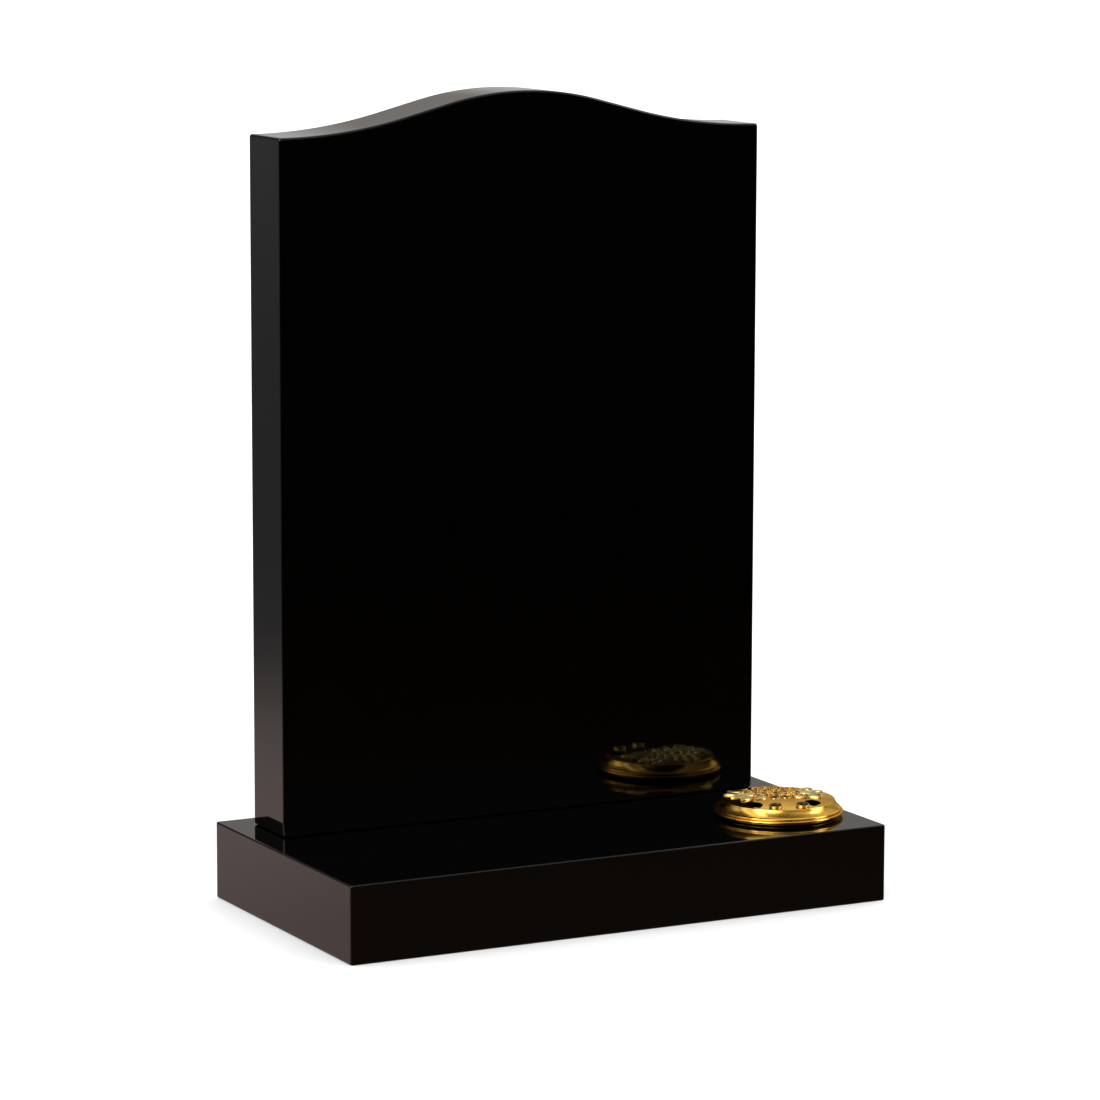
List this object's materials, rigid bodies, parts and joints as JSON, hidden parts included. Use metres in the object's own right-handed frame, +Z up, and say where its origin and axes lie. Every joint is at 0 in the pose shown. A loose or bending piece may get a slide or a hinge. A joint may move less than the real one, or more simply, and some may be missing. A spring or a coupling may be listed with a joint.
{
  "type": "headstone",
  "caption": "Upright polished black granite headstone with an ogee top, standing on a matching plinth with a pierced gilt flower holder let into its right end.",
  "frame": {"origin": "middle of the plinth's underside", "axes": "+Z up, -Y is the polished front of the headstone, +X is the right end with the flower holder"},
  "size_m": [0.61, 0.328, 0.8313],
  "materials": {
    "headstone_granite": "polished black granite",
    "plinth_granite": "polished black granite",
    "pot_metal": "spun metal, dull gold anodised",
    "gilt_metal": "cast and gilded, polished top and brushed band"
  },
  "bodies": {
    "root": {"headstone": "headstone_granite", "plinth": "plinth_granite", "flower_pot": "pot_metal", "flower_lid": "gilt_metal"}
  },
  "joints": []
}
